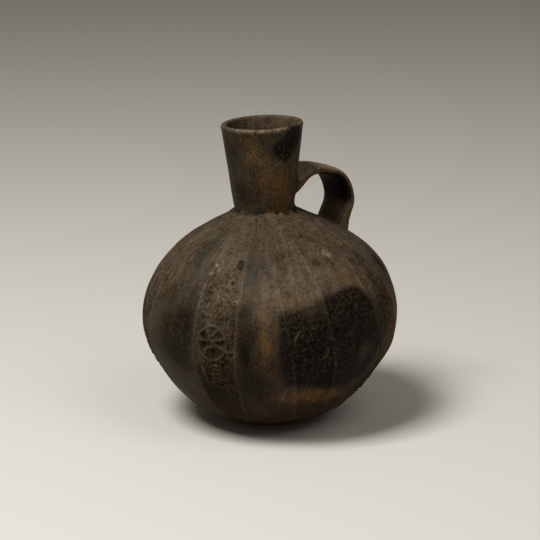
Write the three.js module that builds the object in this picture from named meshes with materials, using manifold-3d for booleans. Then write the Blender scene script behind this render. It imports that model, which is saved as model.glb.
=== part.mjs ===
// A round-bodied jug of black fired clay, made in one piece: a flat foot, a globular body,
// a neck that flares to the mouth, and one strap handle from the neck to the shoulder.
// Eight bands with raised edges run up the body, each with a moulded roundel at its middle.
// Millimetres, +Z up, the foot on the ground, the handle towards +X.

import * as THREE from 'three';
import { mergeVertices } from 'three/addons/utils/BufferGeometryUtils.js';
import Module from 'manifold-3d';

const wasm = await Module();
wasm.setup();

const { degToRad, radToDeg, lerp, clamp, smoothstep } = THREE.MathUtils;

// Clay thickness, and the hollow's own facets
const BODY_WALL = 5.5;
const NECK_WALL = 4;
const FLOOR = 7;
const HOLLOW_SIDES = 32;
const HOLLOW_RINGS = 13;
const PAST_MOUTH = 5;
const BORE_START = -0.06;

// The thrown body by height, with the radius and the centre of the ring there.
// The centres wander a little from the axis, because the jug was shaped by hand.
const BODY_STATIONS = [
  { height: 0, radius: 24.4, centre: [-0.6, 0.5] },
  { height: 8, radius: 44.0, centre: [-0.5, 0.5] },
  { height: 20, radius: 59.1, centre: [-0.4, 0.4] },
  { height: 36, radius: 71.9, centre: [-0.3, 0.3] },
  { height: 54, radius: 81.9, centre: [-0.1, 0.1] },
  { height: 72, radius: 84.6, centre: [0.2, -0.2] },
  { height: 90, radius: 81.3, centre: [0.5, -0.6] },
  { height: 106, radius: 72.9, centre: [0.5, -1.1] },
  { height: 120, radius: 59.2, centre: [-0.1, -1.7] },
  { height: 132, radius: 40.9, centre: [-1.3, -1.7] },
  { height: 139, radius: 27.3, centre: [-2.6, -1.2] },
  { height: 143.5, radius: 20.2, centre: [-4.3, -0.1] },
];
const BODY_TOP = BODY_STATIONS[BODY_STATIONS.length - 1].height;
const BODY_RINGS = 20;

// The neck is a leaning cone, and its mouth is a little out of level
const NECK_FOOT = { height: 143.9, radius: 19.6, centre: [-4.8, 0.2], slope: [0.022, -0.02] };
const MOUTH = { height: 200.2, radius: 27.1, centre: [-5.8, 1.1], slope: [0.036, -0.029] };
const NECK_RINGS = 2;
const LIP_ROUNDING = 1.6;
const LIP_STEPS = 2;

// Bands: the middle at the widest part of the body, and how far it leans by each mm of height
const BANDS = [
  { azimuth: -157, lean: 0.0 },
  { azimuth: -113.5, lean: -0.14 },
  { azimuth: -66.5, lean: -0.15 },
  { azimuth: -22, lean: -0.03 },
  { azimuth: 23, lean: 0.04 },
  { azimuth: 68, lean: 0.05 },
  { azimuth: 110, lean: 0.03 },
  { azimuth: 150, lean: 0.02 },
];
const BAND_HALF_ANGLE = 9.7;
const RIDGE_HALF_WIDTH = 0.8;
const RIDGE_HEIGHT = 0.6;
const RIDGE_LOW_END = [4, 14];
const RIDGE_HIGH_END = [126, 137];
const WIDEST = 72;

// Roundels: a raised ring with six rays, or with six rays about a small inner ring
const ROUNDEL_HEIGHT = 72;
const ROUNDEL_RADIUS = 10.3;
const ROUNDEL_LINE = 1.5;
const ROUNDEL_RISE = 0.8;
const ROUNDEL_ROOT = 0.9;
const ROUNDEL_SIDES = 12;
const INNER_RING_RADIUS = 3.4;
const INNER_RING_SIDES = 6;
const RAYS = 6;
const FIRST_RAY_ANGLE = 24;

// Strap handle: its middle line out from the neck's axis, and its flat section
const STRAP_LINE = [
  [14, 155.5],
  [20, 157.9],
  [32.5, 164],
  [47.1, 163.2],
  [61.2, 157.1],
  [68.3, 140.6],
  [62.6, 125.8],
  [58.5, 113],
];
const STRAP_WIDTH = 27;
const STRAP_THICKNESS = 7.2;
const STRAP_NECK_FLARE = 6.5;
const STRAP_FOOT_FLARE = 6;
const STRAP_NECK_FLARE_LENGTH = 0.21;
const STRAP_FOOT_FLARE_LENGTH = 0.24;
const STRAP_RINGS = 18;
const STRAP_SIDES = 12;
const STRAP_SQUARENESS = 3;

// Values by height through the stations, as a smooth curve (cubic, with three-point slopes)
function stationAt(height) {
  const stations = BODY_STATIONS;
  const last = stations.length - 1;
  const values = (s) => [s.radius, ...s.centre];
  const rate = (i, k) => {
    const step = stations[i + 1].height - stations[i].height;
    return (values(stations[i + 1])[k] - values(stations[i])[k]) / step;
  };
  const slope = (i, k) => {
    if (i === 0) return rate(0, k);
    if (i === last) return rate(last - 1, k);
    const below = stations[i].height - stations[i - 1].height;
    const above = stations[i + 1].height - stations[i].height;
    return (rate(i - 1, k) * above + rate(i, k) * below) / (above + below);
  };
  let i = 0;
  while (i < last - 1 && height > stations[i + 1].height) i += 1;
  const span = stations[i + 1].height - stations[i].height;
  const t = (height - stations[i].height) / span;
  const [radius, x, y] = values(stations[i]).map((start, k) => {
    const end = values(stations[i + 1])[k];
    const blend = t * t * (3 - 2 * t);
    const leave = t * (1 - t) * (1 - t) * span * slope(i, k);
    const arrive = t * t * (1 - t) * span * slope(i + 1, k);
    return lerp(start, end, blend) + leave - arrive;
  });
  return { height, radius, centre: [x, y], slope: [0, 0] };
}

// The body's outward direction in the plane of its profile: away from the axis, and up
function profileNormal(height) {
  const step = 0.2;
  const low = stationAt(Math.max(height - step, 0));
  const high = stationAt(Math.min(height + step, BODY_TOP));
  const tangent = new THREE.Vector2(high.radius - low.radius, high.height - low.height).normalize();
  return new THREE.Vector2(tangent.y, -tangent.x);
}

// Heights on the body that are evenly spaced along its profile
function spacedHeights(count) {
  const samples = 400;
  const points = [];
  for (let i = 0; i <= samples; i += 1) {
    const height = (BODY_TOP * i) / samples;
    points.push(new THREE.Vector3(stationAt(height).radius, 0, height));
  }
  const profile = new THREE.CurvePath();
  for (let i = 0; i < samples; i += 1) profile.add(new THREE.LineCurve3(points[i], points[i + 1]));
  const heights = [];
  for (let i = 0; i <= count; i += 1) heights.push(profile.getPointAt(i / count).z);
  return heights;
}

function bandMiddle(band, height) {
  return band.azimuth + band.lean * (height - WIDEST);
}

// How far the raised edges stand at a height: they fade out near the foot and the neck
function ridgeFade(height) {
  return smoothstep(height, ...RIDGE_LOW_END) * (1 - smoothstep(height, ...RIDGE_HIGH_END));
}

// Azimuths and lifts round one ring: three points over each raised edge, and two between
function bandColumns(station) {
  const foot = radToDeg(RIDGE_HALF_WIDTH / station.radius);
  const rise = RIDGE_HEIGHT * ridgeFade(station.height);
  const columns = [];
  BANDS.forEach((band, i) => {
    const next = BANDS[(i + 1) % BANDS.length];
    const turn = i === BANDS.length - 1 ? 360 : 0;
    const left = bandMiddle(band, station.height) - BAND_HALF_ANGLE;
    const right = left + 2 * BAND_HALF_ANGLE;
    const nextLeft = bandMiddle(next, station.height) - BAND_HALF_ANGLE + turn;
    const edge = (azimuth) => [
      { azimuth: azimuth - foot, lift: 0 },
      { azimuth, lift: rise },
      { azimuth: azimuth + foot, lift: 0 },
    ];
    const between = (from, to) => [
      { azimuth: lerp(from, to, 1 / 3), lift: 0 },
      { azimuth: lerp(from, to, 2 / 3), lift: 0 },
    ];
    columns.push(...edge(left), ...between(left, right), ...edge(right), ...between(right, nextLeft));
  });
  return columns;
}

// A point of a ring, with a lift out along the profile's normal
function ringPoint(station, azimuth, lift = 0, normal = new THREE.Vector2(1, 0)) {
  const angle = degToRad(azimuth);
  const radius = station.radius + lift * normal.x;
  const x = radius * Math.cos(angle);
  const y = radius * Math.sin(angle);
  const rise = station.slope[0] * x + station.slope[1] * y;
  return new THREE.Vector3(
    station.centre[0] + x,
    station.centre[1] + y,
    station.height + rise + lift * normal.y,
  );
}

// A closed solid through rings of points that turn left about the way they advance.
// Open ends are closed by a fan to their middle, and a loop joins its last ring to its first.
function loft(rings, loop = false) {
  const sides = rings[0].length;
  const points = rings.flat();
  const triangles = [];
  const spans = loop ? rings.length : rings.length - 1;
  for (let i = 0; i < spans; i += 1) {
    const low = i * sides;
    const high = ((i + 1) % rings.length) * sides;
    for (let j = 0; j < sides; j += 1) {
      const k = (j + 1) % sides;
      triangles.push(low + j, low + k, high + k, low + j, high + k, high + j);
    }
  }
  const middle = (ring) => ring.reduce((sum, p) => sum.add(p), new THREE.Vector3()).divideScalar(sides);
  if (!loop) {
    const first = points.push(middle(rings[0])) - 1;
    const last = points.push(middle(rings[rings.length - 1])) - 1;
    const top = (rings.length - 1) * sides;
    for (let j = 0; j < sides; j += 1) {
      const k = (j + 1) % sides;
      triangles.push(first, k, j, last, top + j, top + k);
    }
  }
  const geometry = new THREE.BufferGeometry().setFromPoints(points);
  geometry.setIndex(triangles);
  const merged = mergeVertices(geometry, 1e-4);
  return new wasm.Manifold(new wasm.Mesh({
    numProp: 3,
    vertProperties: new Float32Array(merged.attributes.position.array),
    triVerts: new Uint32Array(merged.index.array),
  }));
}

// A ring of the neck's cone, from 0 at its foot to 1 at the mouth, made smaller by the inset
function neckStation(t, inset = 0) {
  return {
    height: lerp(NECK_FOOT.height, MOUTH.height, t),
    radius: lerp(NECK_FOOT.radius, MOUTH.radius, t) - inset,
    centre: [0, 1].map((k) => lerp(NECK_FOOT.centre[k], MOUTH.centre[k], t)),
    slope: [0, 1].map((k) => lerp(NECK_FOOT.slope[k], MOUTH.slope[k], t)),
  };
}

// The lip's rounded outer or inner edge: a quarter circle that ends on the crest
function lipStations(inset, side) {
  const crest = neckStation(1, inset);
  const stations = [];
  for (let i = 0; i <= LIP_STEPS; i += 1) {
    const angle = (i / LIP_STEPS) * (Math.PI / 2);
    stations.push({
      ...crest,
      height: crest.height - LIP_ROUNDING * (1 - Math.sin(angle)),
      radius: crest.radius - side * LIP_ROUNDING * (1 - Math.cos(angle)),
    });
  }
  return stations;
}

// The whole outside of body and neck, as one solid without the hollow
function outerForm() {
  const body = spacedHeights(BODY_RINGS).map(stationAt);
  const neck = [];
  for (let i = 0; i < NECK_RINGS; i += 1) neck.push(neckStation(i / NECK_RINGS));
  const stations = [...body, ...neck, ...lipStations(0, 1)];
  const rings = stations.map((station) => {
    const normal = body.includes(station) ? profileNormal(station.height) : undefined;
    return bandColumns(station).map(({ azimuth, lift }) => ringPoint(station, azimuth, lift, normal));
  });
  return loft(rings);
}

// The hollow: the body's profile set in by the wall, the neck's bore, and out past the mouth
function hollow() {
  const inside = spacedHeights(HOLLOW_RINGS).slice(0, -1).map((height) => {
    const outer = stationAt(height);
    const normal = profileNormal(height);
    const radius = outer.radius - BODY_WALL * normal.x;
    return { ...outer, radius, height: Math.max(height - BODY_WALL * normal.y, FLOOR) };
  });
  const bore = [neckStation(BORE_START, NECK_WALL)];
  const lip = lipStations(NECK_WALL, -1);
  const top = lip[lip.length - 1];
  const past = { ...top, height: top.height + PAST_MOUTH };
  const rings = [...inside, ...bore, ...lip, past].map((station) => {
    const ring = [];
    for (let j = 0; j < HOLLOW_SIDES; j += 1) ring.push(ringPoint(station, (360 * j) / HOLLOW_SIDES));
    return ring;
  });
  return loft(rings);
}

// A rounded-rectangle section (superellipse) of the strap, turning left about the way it runs
function strapSection(width, thickness) {
  const section = [];
  for (let i = 0; i < STRAP_SIDES; i += 1) {
    const angle = (2 * Math.PI * i) / STRAP_SIDES;
    const bend = (value) => Math.sign(value) * Math.abs(value) ** (2 / STRAP_SQUARENESS);
    section.push([bend(Math.cos(angle)) * thickness / 2, bend(Math.sin(angle)) * width / 2]);
  }
  return section;
}

// The strap handle, carried along its middle line and thickened where it is luted on
function strapHandle() {
  const [axisX, axisY] = NECK_FOOT.centre;
  const points = STRAP_LINE.map(([out, up]) => new THREE.Vector3(axisX + out, axisY, up));
  const line = new THREE.CatmullRomCurve3(points);
  const rings = [];
  for (let i = 0; i <= STRAP_RINGS; i += 1) {
    const t = i / STRAP_RINGS;
    const toNeck = clamp(1 - t / STRAP_NECK_FLARE_LENGTH, 0, 1) ** 2;
    const toFoot = clamp(1 - (1 - t) / STRAP_FOOT_FLARE_LENGTH, 0, 1) ** 2;
    const flare = STRAP_NECK_FLARE * toNeck + STRAP_FOOT_FLARE * toFoot;
    const at = line.getPointAt(t);
    const along = line.getTangentAt(t);
    const out = new THREE.Vector3(-along.z, 0, along.x);
    const across = new THREE.Vector3().crossVectors(along, out);
    const section = strapSection(STRAP_WIDTH + STRAP_FOOT_FLARE * toFoot, STRAP_THICKNESS + flare);
    rings.push(section.map(([n, b]) => at.clone().addScaledVector(out, n).addScaledVector(across, b)));
  }
  return loft(rings);
}

// A point on the body near a band's roundel: across, up along the surface, and out of it
function roundelPoint(band, across, up, lift) {
  const slant = profileNormal(ROUNDEL_HEIGHT).x;
  const height = ROUNDEL_HEIGHT + up * slant;
  const station = stationAt(height);
  const turn = radToDeg(across / station.radius);
  return ringPoint(station, bandMiddle(band, ROUNDEL_HEIGHT) + turn, lift, profileNormal(height));
}

// A raised line's section, as side and lift: a low ridge rooted in the wall
const RAISED_SECTION = [
  [0, ROUNDEL_RISE],
  [ROUNDEL_LINE, -ROUNDEL_ROOT],
  [-ROUNDEL_LINE, -ROUNDEL_ROOT],
];

function raisedRing(band, radius, sides) {
  const rings = [];
  for (let i = 0; i < sides; i += 1) {
    const angle = (2 * Math.PI * i) / sides;
    rings.push(RAISED_SECTION.map(([side, lift]) => {
      const reach = radius + side;
      return roundelPoint(band, reach * Math.cos(angle), reach * Math.sin(angle), lift);
    }));
  }
  return loft(rings, true);
}

// A straight raised line through the roundel's middle at an angle, from one reach to another
function raisedRay(band, angle, from, to) {
  const rings = [from, to].map((reach) => RAISED_SECTION.map(([side, lift]) => {
    const across = reach * Math.cos(angle) + side * Math.sin(angle);
    const up = reach * Math.sin(angle) - side * Math.cos(angle);
    return roundelPoint(band, across, up, lift);
  }));
  return loft(rings);
}

// One roundel: a star of lines that cross in the middle, or rays that leave a small inner ring
function roundel(band, star) {
  let made = raisedRing(band, ROUNDEL_RADIUS, ROUNDEL_SIDES);
  if (!star) made = made.add(raisedRing(band, INNER_RING_RADIUS, INNER_RING_SIDES));
  const lines = star ? RAYS / 2 : RAYS;
  for (let i = 0; i < lines; i += 1) {
    const angle = degToRad(FIRST_RAY_ANGLE + (360 * i) / RAYS);
    made = made.add(raisedRay(band, angle, star ? -ROUNDEL_RADIUS : INNER_RING_RADIUS, ROUNDEL_RADIUS));
  }
  return made;
}

// The finished clay: the outside with handle and roundels, and the hollow cut out of it
function vesselSolid() {
  let clay = outerForm().add(strapHandle());
  BANDS.forEach((band, i) => {
    clay = clay.add(roundel(band, i % 2 === 0));
  });
  return clay.subtract(hollow());
}

function toGeometry(solid) {
  const mesh = solid.getMesh();
  const geometry = new THREE.BufferGeometry();
  geometry.setAttribute('position', new THREE.BufferAttribute(mesh.vertProperties, 3));
  geometry.setIndex(new THREE.BufferAttribute(mesh.triVerts, 1));
  return geometry;
}

// The origin is under the middle of the whole form, on the ground
function centredOnGround(geometry) {
  geometry.computeBoundingBox();
  const { min, max } = geometry.boundingBox;
  return geometry.translate(-(min.x + max.x) / 2, -(min.y + max.y) / 2, -min.z);
}

function blackFiredClay() {
  return new THREE.MeshStandardMaterial({ color: '#4b443b', roughness: 0.62, metalness: 0 });
}

const vessel = new THREE.Mesh(centredOnGround(toGeometry(vesselSolid())), blackFiredClay());
vessel.name = 'vessel';

const jug = new THREE.Group();
jug.add(vessel);

export default jug;
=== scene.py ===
# %% [markdown]
# A round jug of black fired clay, with upright bands of moulded relief, a flaring neck and one
# strap handle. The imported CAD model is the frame, and this script makes the fine surface over it.

# %% The frame and its box
import itertools
import math

import bpy
import numpy as np
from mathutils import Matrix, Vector


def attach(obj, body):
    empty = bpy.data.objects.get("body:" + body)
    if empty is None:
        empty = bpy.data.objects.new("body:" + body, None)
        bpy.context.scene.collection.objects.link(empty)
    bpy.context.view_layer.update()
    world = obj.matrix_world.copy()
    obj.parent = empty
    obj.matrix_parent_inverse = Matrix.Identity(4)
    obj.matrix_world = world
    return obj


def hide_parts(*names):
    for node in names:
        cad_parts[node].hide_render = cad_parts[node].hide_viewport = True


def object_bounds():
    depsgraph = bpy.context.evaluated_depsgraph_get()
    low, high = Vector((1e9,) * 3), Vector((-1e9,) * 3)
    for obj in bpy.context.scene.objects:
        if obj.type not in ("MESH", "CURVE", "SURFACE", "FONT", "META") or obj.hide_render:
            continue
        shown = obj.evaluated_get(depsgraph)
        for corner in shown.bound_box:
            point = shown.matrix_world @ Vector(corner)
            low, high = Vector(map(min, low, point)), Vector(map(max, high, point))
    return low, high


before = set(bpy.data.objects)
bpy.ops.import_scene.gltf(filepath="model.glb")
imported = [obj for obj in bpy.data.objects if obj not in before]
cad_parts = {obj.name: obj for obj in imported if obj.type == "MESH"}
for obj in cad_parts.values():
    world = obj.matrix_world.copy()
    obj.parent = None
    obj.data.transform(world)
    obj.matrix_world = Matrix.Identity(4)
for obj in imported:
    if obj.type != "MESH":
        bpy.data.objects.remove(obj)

cad_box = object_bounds()
cad_low, cad_high = np.array(cad_box)
MM = 0.001
print("CAD box in mm", np.round(cad_low / MM, 2), np.round(cad_high / MM, 2))

# %% [markdown]
# The real body was built by hand, so it isn't one turned curve: the radius and the middle of
# each ring are smooth curves of the height, as in the CAD source.

# %% The body's rings by height, in millimetres
BODY_HEIGHTS = np.array([0, 8, 20, 36, 54, 72, 90, 106, 120, 132, 139, 143.5])
BODY_RADII = np.array([24.4, 44.0, 59.1, 71.9, 81.9, 84.6, 81.3, 72.9, 59.2, 40.9, 27.3, 20.2])
BODY_MIDDLES = np.array([
    [-0.6, -0.5, -0.4, -0.3, -0.1, 0.2, 0.5, 0.5, -0.1, -1.3, -2.6, -4.3],
    [0.5, 0.5, 0.4, 0.3, 0.1, -0.2, -0.6, -1.1, -1.7, -1.7, -1.2, -0.1],
])
BODY_TOP = BODY_HEIGHTS[-1]
BELLY = 72.0
BELLY_RADIUS = 84.6
BODY_WALL = 5.5
NECK_WALL = 4.0
FLOOR = 7.0


def smooth_curve(at, knots, values):
    """Cubic pieces through the values at the knots: start + (end - start) (3t^2 - 2t^3), plus
    the three-point slopes at both ends times t (1 - t)^2 and -t^2 (1 - t)."""
    slopes = np.gradient(values, knots)
    low = np.clip(np.searchsorted(knots, at, side="right") - 1, 0, len(knots) - 2)
    span = knots[low + 1] - knots[low]
    t = (at - knots[low]) / span
    blend = t * t * (3 - 2 * t)
    leave = t * (1 - t) ** 2 * span * slopes[low]
    arrive = t ** 2 * (1 - t) * span * slopes[low + 1]
    return values[low] + (values[low + 1] - values[low]) * blend + leave - arrive


def body_radius(height):
    """The body's radius in mm at a height."""
    return smooth_curve(np.clip(height, 0, BODY_TOP), BODY_HEIGHTS, BODY_RADII)


def body_normal(height):
    """The outward direction in the profile's plane: across and up, of length 1."""
    low = np.maximum(height - 0.2, 0)
    high = np.minimum(height + 0.2, BODY_TOP)
    across = high - low
    up = body_radius(low) - body_radius(high)
    length = np.hypot(across, up)
    return across / length, up / length


PROFILE_HEIGHTS = np.linspace(0, BODY_TOP, 2400)
PROFILE_RADII = body_radius(PROFILE_HEIGHTS)
PROFILE_STEPS = np.hypot(np.diff(PROFILE_HEIGHTS), np.diff(PROFILE_RADII))
PROFILE_ARC = np.concatenate([[0], np.cumsum(PROFILE_STEPS)])
print("the body's profile is", round(PROFILE_ARC[-1], 1), "mm long")

# %% [markdown]
# Eight bands run from the foot to the neck, each between two thin raised lines. A band drifts a
# little with height, and columns of the mesh follow it, so the lines are crisp.

# %% The bands and the columns of the mesh
BAND_AZIMUTHS = np.array([-157, -113.5, -66.5, -22, 23, 68, 110, 150])
BAND_LEANS = np.array([0.0, -0.14, -0.15, -0.03, 0.04, 0.05, 0.03, 0.02])
BAND_HALF_ANGLE = 9.7
# Columns in each band and in the gap after it, in turn
COLUMN_COUNTS = (58, 18, 46, 18, 30, 10, 22, 18, 22, 10, 22, 10, 22, 10, 30, 16)
COLUMNS = sum(COLUMN_COUNTS)


def band_middles(height):
    """Azimuth of each band's middle in degrees, one row for each height."""
    rise = np.clip(height, 4, 145) - BELLY
    return BAND_AZIMUTHS + np.multiply.outer(rise, BAND_LEANS)


def column_azimuths(height):
    """Azimuths of all columns at each height, evenly spread in each band and between bands."""
    middles = band_middles(height)
    sides = np.stack([middles - BAND_HALF_ANGLE, middles + BAND_HALF_ANGLE], axis=2)
    sides = sides.reshape(len(height), -1)
    sides = np.column_stack([sides, middles[:, 0] + 360 - BAND_HALF_ANGLE])
    return np.concatenate([
        sides[:, k, None] + np.multiply.outer(sides[:, k + 1] - sides[:, k], np.arange(count) / count)
        for k, count in enumerate(COLUMN_COUNTS)
    ], axis=1)


print(COLUMNS, "columns round the jug")

# %% [markdown]
# Every place on the clay is found again from its position alone, so the relief and the fire's
# colours still agree after the handle has been joined on and the points renumbered.

# %% Finding a place on the jug
# A ring is its height, radius, middle in x and y, and slope along x and y
NECK_FOOT = np.array([143.9, 19.6, -4.8, 0.2, 0.022, -0.02])
MOUTH = np.array([200.2, 27.1, -5.8, 1.1, 0.036, -0.029])
ROUNDEL_ARC = np.interp(BELLY, PROFILE_HEIGHTS, PROFILE_ARC)


def wrapped(degrees):
    """An angle brought between -180 and 180 degrees."""
    return (degrees + 180) % 360 - 180


def neck_share(height):
    """How far up the neck a height is: 0 at its foot and 1 at its mouth."""
    return (height - NECK_FOOT[0]) / (MOUTH[0] - NECK_FOOT[0])


def ring_middle(height):
    """The middle of the ring at a height, on the body and on the neck."""
    t = np.clip(neck_share(height), 0, 1)
    level = np.clip(height, 0, BODY_TOP)
    curves = [smooth_curve(level, BODY_HEIGHTS, middle) for middle in BODY_MIDDLES]
    return [
        np.where(height > NECK_FOOT[0], foot + t * (mouth - foot), on_body)
        for foot, mouth, on_body in zip(NECK_FOOT[2:4], MOUTH[2:4], curves)
    ]


def band_place(azimuth, height):
    """The nearest band's number, and mm across from its middle and up from its roundel."""
    offsets = wrapped(azimuth[:, None] - band_middles(height))
    nearest = np.abs(offsets).argmin(axis=1)
    offset = np.take_along_axis(offsets, nearest[:, None], axis=1)[:, 0]
    across = np.radians(offset) * body_radius(height)
    along = np.interp(height, PROFILE_HEIGHTS, PROFILE_ARC) - ROUNDEL_ARC
    return nearest, offset, across, along


# %% [markdown]
# Nothing on hand-made clay repeats, so noise is needed. It comes from mixing whole numbers, so
# the same place always gets the same number.

# %% Noise on a lattice
def lattice_number(cell, seed):
    """A fixed number from 0 to 1 for each lattice cell, by mixing its three whole numbers."""
    mixed = cell[..., 0] * 73856093 ^ cell[..., 1] * 19349663 ^ cell[..., 2] * 83492791
    mixed = (mixed ^ (seed * 40503 + 9176)) & 0x7FFFFFFF
    mixed = (mixed ^ (mixed >> 13)) * 1274126177 & 0x7FFFFFFF
    return ((mixed ^ (mixed >> 16)) & 0xFFFF) / 65535


def soft_noise(points, size, seed):
    """Noise from -1 to 1: numbers at the corners of cubes, blended by 3t^2 - 2t^3 between."""
    scaled = points / size
    cell = np.floor(scaled).astype(np.int64)
    part = scaled - cell
    part = part * part * (3 - 2 * part)
    total = np.zeros(len(points))
    for corner in itertools.product((0, 1), repeat=3):
        weight = np.prod(np.where(corner, part, 1 - part), axis=1)
        total += weight * lattice_number(cell + np.array(corner), seed)
    return 2 * total - 1


def scattered(across, along, layer, pitch, seed):
    """Distance to the nearest of many spots, one at random in each square of a grid, and that
    spot's own number: the least over the nine squares about the point."""
    column = np.floor(across / pitch).astype(np.int64)
    row = np.floor(along / pitch).astype(np.int64)
    nearest = np.full(len(across), 1e9)
    number = np.zeros(len(across))
    for step_x, step_y in itertools.product((-1, 0, 1), repeat=2):
        cell = np.stack([column + step_x, row + step_y, layer], axis=1)
        spot_x = (cell[:, 0] + 0.15 + 0.7 * lattice_number(cell, seed)) * pitch
        spot_y = (cell[:, 1] + 0.15 + 0.7 * lattice_number(cell, seed + 1)) * pitch
        distance = np.hypot(across - spot_x, along - spot_y)
        closer = distance < nearest
        nearest = np.where(closer, distance, nearest)
        number = np.where(closer, lattice_number(cell, seed + 2), number)
    return nearest, number


def ramp(value, start, end):
    """0 before start and 1 after end, with 3t^2 - 2t^3 between."""
    t = np.clip((value - start) / (end - start), 0, 1)
    return t * t * (3 - 2 * t)


# %% [markdown]
# The moulded relief is low, with a raised line on each side of a band and a goose-skin between.
# A line's lift is a soft bell of the distance to it, because the mould was worn and the clay wet.

# %% Raised lines and the goose-skin of the bands
LINE_HALF_WIDTH = 0.6
RIDGE_LIFT = 0.75
BUMP_PITCH = 2.7
BUMP_LIFT = 1.3
PIT_PITCH = 3.7
PIT_DEPTH = 0.7
BAND_SINK = 0.25


def segment_distance(x, y, points):
    """The least distance from each place to a line through some points."""
    nearest = np.full(len(x), 1e9)
    for (x0, y0), (x1, y1) in zip(points, points[1:]):
        length_squared = (x1 - x0) ** 2 + (y1 - y0) ** 2
        share = np.clip(((x - x0) * (x1 - x0) + (y - y0) * (y1 - y0)) / length_squared, 0, 1)
        distance = np.hypot(x - x0 - share * (x1 - x0), y - y0 - share * (y1 - y0))
        nearest = np.minimum(nearest, distance)
    return nearest


def bell(distance, half_width):
    """A soft bell: 1 at distance 0, and about a third at the half width."""
    return np.exp(-(distance / half_width) ** 2)


def band_fill(offset, height):
    """1 inside a band and 0 outside it, fading out near the foot and on the shoulder."""
    inside = 1 - ramp(np.abs(offset), BAND_HALF_ANGLE - 0.9, BAND_HALF_ANGLE + 0.2)
    return inside * ramp(height, 12, 24) * (1 - ramp(height, 108, 130))


def edge_ridges(offset, height, points):
    """The two raised lines of a band, uneven along their length."""
    distance = (np.abs(offset) - BAND_HALF_ANGLE) * np.radians(1) * body_radius(height)
    fade = ramp(height, 4, 14) * (1 - 0.4 * ramp(height, 88, 118)) * (1 - ramp(height, 122, 138))
    uneven = 0.75 + 0.25 * soft_noise(points, 9.0, 3)
    return RIDGE_LIFT * fade * uneven * bell(distance, LINE_HALF_WIDTH)


def goose_skin(across, along, band, height, points):
    """Small round bumps with pits between, over a band."""
    distance, number = scattered(across, along, band, BUMP_PITCH, 11)
    bumps = BUMP_LIFT * (0.35 + 0.65 * number) * bell(distance, 0.85)
    distance, number = scattered(across + 40, along, band, PIT_PITCH, 17)
    pits = PIT_DEPTH * ramp(number, 0.45, 0.8) * bell(distance, 0.8)
    worn = 0.65 + 0.35 * soft_noise(points, 13.0, 5)
    shoulder = 1 - 0.55 * ramp(height, 92, 112)
    return (bumps * shoulder - pits) * worn - BAND_SINK * shoulder


# %% [markdown]
# The roundels are a ring with a crooked star of forked arms and, on every other band, a ring
# with rays. Their lines are points in mm across and up from the roundel's middle.

# %% The roundels and the small figure below the front one
RING_RADIUS = 11.2
RING_LIFT = 1.3
ROUNDEL_REACH = 16
STAR_MIDDLE = -1.7
# How clear each band's roundel is, as some took the mould less well
ROUNDEL_CLEARNESS = np.array([1.0, 0.9, 0.35, 0.7, 0.8, 0.9, 0.5, 0.6])
STAR_ARMS = [
    [(-1.9, 2.3), (-1.9, 4.9), (-3.3, 8.6)], [(-1.9, 4.3), (0.9, 5.5), (2.2, 7.8), (3.9, 8.8)],
    [(-8.6, 2), (-4.6, 1.4), (-1.9, 2.3), (0.3, 1.7)],
    [(0.3, 1.7), (3.4, 2.9), (5.9, 3.7), (9.2, 4)], [(0.3, 1.7), (1.2, -0.6), (0.6, -2.3)],
    [(1.2, -1.4), (4, -0.9), (6.5, -2.3), (9.6, -4.9), (11.4, -4.9)],
    [(0.3, -2.3), (-2.8, -2.9), (-4.6, -4.9), (-4.9, -6.8)],
]
INNER_RING_RADIUS = 3.3
RAY_ANGLES = np.radians([28, 84, 146, 205, 262, 325])
ROUNDEL_LINK = [(11.4, -4.9), (14.4, -4.6), (16.6, -6.6), (14.6, -8.8), (12.0, -8.0)]
# Pits about the front roundel: across, up, radius
STAR_PITS = [
    (10.2, -11.8, 1.4), (7.1, -13.8, 1.3), (-5.2, -0.7, 1.6), (8.2, 1.8, 1.3), (14.2, -6.5, 1.1),
    (1.6, -5.2, 1.5), (-6, 4.4, 1.3), (4.6, 0.8, 0.9),
]
# The band in the black cloud, whose goose-skin is worn half away
WORN_BAND = 1
# Lines of the small figure, as points across and up from the roundel's middle
FIGURE_LINES = [
    [(-0.3, -14.9), (3.4, -14.8)], [(1, -17.5), (4, -17.6)], [(-0.3, -21.2), (4.2, -21.4)],
    [(-1.8, -25.8), (0.3, -25), (4, -25.3), (8.3, -25.8)],
    [(-2, -29.2), (1.5, -27.6), (5, -28.4), (7.6, -29.6)],
    [(0, -31), (3.4, -33.3), (6.5, -34.5), (8, -38)], [(9.6, -29.3), (12, -31.6), (13.6, -34.5)],
    [(-7, -18.5), (-6, -24), (-5, -29.5)],
]


def drawn(x, y, lines, half_width):
    """The greatest of the bells of some lines."""
    return np.max([bell(segment_distance(x, y, line), half_width) for line in lines], axis=0)


def star_roundel(across, along, points):
    """A ring with a star of forked arms, thicker and thinner along the way."""
    x = across + 0.5 * soft_noise(points, 3.0, 21)
    y = along + 0.5 * soft_noise(points, 3.0, 22)
    uneven = 0.8 + 0.35 * soft_noise(points, 3.5, 28)
    ring = bell(np.hypot(x / 0.9, y) - RING_RADIUS, 0.7)
    return uneven * np.maximum(RING_LIFT * ring, 1.4 * drawn(x, y, STAR_ARMS, 0.6))


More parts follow.
